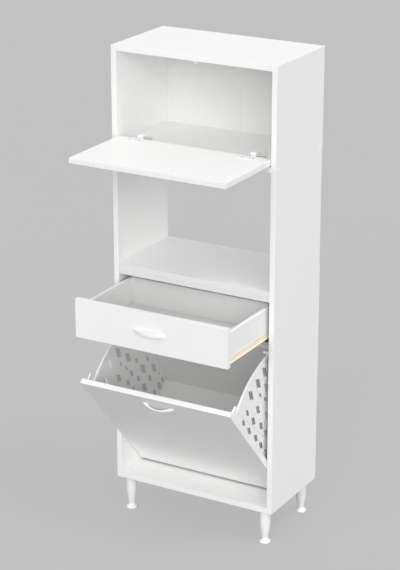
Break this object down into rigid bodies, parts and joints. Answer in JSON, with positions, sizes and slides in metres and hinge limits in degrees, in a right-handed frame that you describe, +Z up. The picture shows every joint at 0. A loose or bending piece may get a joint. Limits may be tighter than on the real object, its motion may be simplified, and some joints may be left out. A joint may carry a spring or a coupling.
{
  "type": "kitchen cabinet",
  "caption": "Tall narrow kitchen cabinet with a drop-down flap, an open microwave niche, a drawer on roller runners and a tilt-out bin, on turned legs.",
  "frame": {"origin": "on the floor, under the middle of the box that holds the cabinet with its flap down, drawer out and bin tilted", "axes": "+Z up, the front faces -Y, +X to the right of someone who looks at the front"},
  "size_m": [0.6032, 0.6128, 1.64],
  "materials": {
    "white_board": "white melamine-faced board, satin",
    "white_hardboard": "thin white lacquered hardboard",
    "beech": "fluted beech dowel",
    "zinc_steel": "bright zinc plate",
    "cream_steel": "cream powder coat",
    "white_plastic": "white moulded plastic, satin",
    "bin_plastic": "white moulded plastic, matt",
    "grey_nylon": "pale nylon",
    "white_lacquer": "white gloss lacquer on metal"
  },
  "bodies": {
    "carcass": {"back_nails": "zinc_steel", "bin_pivot_pins": "white_plastic", "bin_stop_pins": "white_plastic", "bottom_panel": "white_board", "cabinet_runner_left": "cream_steel", "cabinet_runner_right": "cream_steel", "cam_bolts": "zinc_steel", "cam_locks": "zinc_steel", "dowels": "beech", "flap_hinge_block_left": "white_plastic", "flap_hinge_block_right": "white_plastic", "flap_stop": "white_plastic", "hinge_block_screws": "zinc_steel", "left_side": "white_board", "leg_front_left": "white_plastic", "leg_front_right": "white_plastic", "leg_rear_left": "white_plastic", "leg_rear_right": "white_plastic", "lower_back": "white_hardboard", "niche_rail": "white_board", "niche_shelf": "white_board", "right_side": "white_board", "runner_screws": "zinc_steel", "screw_caps": "white_plastic", "shelf_screws": "zinc_steel", "top_panel": "white_board", "upper_back": "white_hardboard", "upper_shelf": "white_board"},
    "flap": {"flap_panel": "white_board", "flap_handle": "white_lacquer", "flap_handle_screws": "white_lacquer", "flap_hinge_leaf_left": "white_lacquer", "flap_hinge_leaf_right": "white_lacquer", "flap_hinge_pins": "zinc_steel", "flap_hinge_screws": "zinc_steel"},
    "drawer": {"drawer_front": "white_board", "drawer_side_left": "white_board", "drawer_side_right": "white_board", "drawer_back": "white_board", "drawer_bottom": "white_hardboard", "drawer_handle": "white_lacquer", "drawer_handle_screws": "white_lacquer", "drawer_runner_left": "cream_steel", "drawer_runner_right": "cream_steel"},
    "bin": {"bin_door": "white_board", "bin_cheek_left": "bin_plastic", "bin_cheek_right": "bin_plastic", "bin_back": "bin_plastic", "bin_floor": "bin_plastic", "bin_fingers": "bin_plastic", "bin_handle": "white_lacquer", "bin_handle_screws": "white_lacquer"},
    "front_rollers": {"front_rollers": "grey_nylon"},
    "rear_rollers": {"rear_rollers": "grey_nylon"}
  },
  "joints": [
    {"name": "flap_hinge", "type": "hinge", "parent": "carcass", "child": "flap", "pos_m": [0, -0.0129, 1.32904], "axis": [-1, 0, 0], "range_deg": [0, 90]},
    {"name": "drawer_slide", "type": "slide", "parent": "carcass", "child": "drawer", "axis": [0, -1, 0], "range_m": [-0.268, 0]},
    {"name": "bin_hinge", "type": "hinge", "parent": "carcass", "child": "bin", "pos_m": [0, 0.0716, 0.32374], "axis": [-1, 0, 0], "range_deg": [0, 41.8]},
    {"name": "front_roller_spin", "type": "hinge", "parent": "carcass", "child": "front_rollers", "pos_m": [0, 0.0091, 0.73653], "axis": [1, 0, 0], "range_deg": [-2209, 5]},
    {"name": "rear_roller_spin", "type": "hinge", "parent": "drawer", "child": "rear_rollers", "pos_m": [0, 0.0236, 0.73653], "axis": [1, 0, 0], "range_deg": [-2209, 5]}
  ],
  "couplings": [
    {"joint": "front_roller_spin", "follows": "drawer_slide", "rad_per_m": 142.86},
    {"joint": "rear_roller_spin", "follows": "drawer_slide", "rad_per_m": 142.86}
  ]
}
